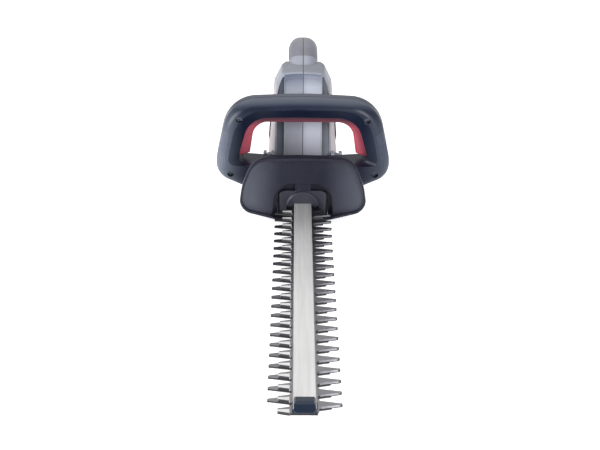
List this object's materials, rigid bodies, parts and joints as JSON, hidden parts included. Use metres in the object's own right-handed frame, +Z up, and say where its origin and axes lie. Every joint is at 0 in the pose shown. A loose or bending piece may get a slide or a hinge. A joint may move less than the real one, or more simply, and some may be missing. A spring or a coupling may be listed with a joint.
{
  "type": "hedge trimmer",
  "caption": "Mains hedge trimmer with a long double-sided reciprocating blade, hand guard, front loop handle with switch bar and rear D-handle with trigger.",
  "frame": {"origin": "on the plane the trimmer rests on, on the axis of the drive gear", "axes": "+X to the user's right, -Y towards the blade's tip, +Z up, square to the blades"},
  "size_m": [0.2178, 0.8205, 0.17],
  "materials": {
    "grey_housing": "fine textured moulding",
    "slate_plastic": "satin moulding",
    "soft_grip": "soft matt overmould",
    "navy_plastic": "satin moulding",
    "guard_plastic": "satin moulding",
    "red_plastic": "satin moulding",
    "tip_plastic": "glossy moulding",
    "bar_steel": "brushed lengthways",
    "blade_steel": "dark stamped, ground flanks",
    "cast_alloy": "dark coated casting",
    "cover_plate": "rolled sheet",
    "machined_steel": "machined",
    "bronze": "sintered",
    "fastener_steel": "zinc plated",
    "laminated_steel": "stacked sheets",
    "copper": "enamelled wire",
    "carbon": "pressed carbon",
    "inner_plastic": "plain moulding",
    "gland_rubber": "matt"
  },
  "bodies": {
    "body": {"housing_left": "grey_housing", "housing_right": "grey_housing", "flanks": "slate_plastic", "grip_left": "soft_grip", "grip_right": "soft_grip", "housing_screws": "fastener_steel", "gearbox_housing": "cast_alloy", "gearbox_cover": "cover_plate", "cover_screws": "fastener_steel", "gear_pin": "machined_steel", "support_bar": "bar_steel", "blade_studs": "fastener_steel", "bar_bolts": "fastener_steel", "tip_protector": "tip_plastic", "guard": "guard_plastic", "guard_screws": "fastener_steel", "handle_front_shell": "navy_plastic", "handle_rear_shell": "navy_plastic", "handle_screws": "fastener_steel", "handle_clamps": "grey_housing", "clamp_screws": "fastener_steel", "bar_springs": "fastener_steel", "front_switch": "inner_plastic", "lower_bearing": "machined_steel", "upper_bearing": "machined_steel", "stator": "laminated_steel", "field_coils": "copper", "motor_bracket": "inner_plastic", "brush_holders": "inner_plastic", "carbon_brushes": "carbon", "trigger_pin": "fastener_steel", "rear_switch": "inner_plastic", "cord_gland": "gland_rubber", "terminal_block": "inner_plastic", "suppressor": "inner_plastic"},
    "drive_gear": {"drive_gear": "machined_steel", "upper_eccentric": "machined_steel", "lower_eccentric": "machined_steel", "gear_bush": "bronze"},
    "rotor": {"motor_shaft": "machined_steel", "pinion": "machined_steel", "armature": "laminated_steel", "armature_windings": "copper", "commutator": "copper", "fan": "inner_plastic"},
    "upper_blade": {"upper_blade": "blade_steel"},
    "lower_blade": {"lower_blade": "blade_steel"},
    "switch_bar": {"switch_bar": "red_plastic"},
    "trigger": {"trigger": "red_plastic"}
  },
  "joints": [
    {"name": "gear_spin", "type": "hinge", "parent": "body", "child": "drive_gear", "pos_m": [0, 0, 0.0235], "axis": [0, 0, 1], "range_deg": [0, 180]},
    {"name": "rotor_spin", "type": "hinge", "parent": "body", "child": "rotor", "pos_m": [0, 0.0415, 0.07], "axis": [0, 0, 1], "range_deg": [-1180, 0]},
    {"name": "upper_blade_slide", "type": "slide", "parent": "body", "child": "upper_blade", "axis": [0, 1, 0], "range_m": [0, 0.0101]},
    {"name": "lower_blade_slide", "type": "slide", "parent": "body", "child": "lower_blade", "axis": [0, 1, 0], "range_m": [-0.0101, 0]},
    {"name": "switch_bar_slide", "type": "slide", "parent": "body", "child": "switch_bar", "axis": [0, 0, 1], "range_m": [0, 0.005], "stiffness_N_per_m": 300, "springref_m": -0.01, "deforming": ["bar_springs"]},
    {"name": "trigger_hinge", "type": "hinge", "parent": "body", "child": "trigger", "pos_m": [0, 0.123, 0.1345], "axis": [1, 0, 0], "range_deg": [0, 6], "stiffness_Nm_per_rad": 0.3, "springref_deg": -11.46}
  ],
  "couplings": [
    {"joint": "upper_blade_slide", "follows": "gear_spin", "m_per_rad": 0.0031831},
    {"joint": "lower_blade_slide", "follows": "gear_spin", "m_per_rad": -0.0031831},
    {"joint": "rotor_spin", "follows": "gear_spin", "ratio": -6.5455}
  ]
}
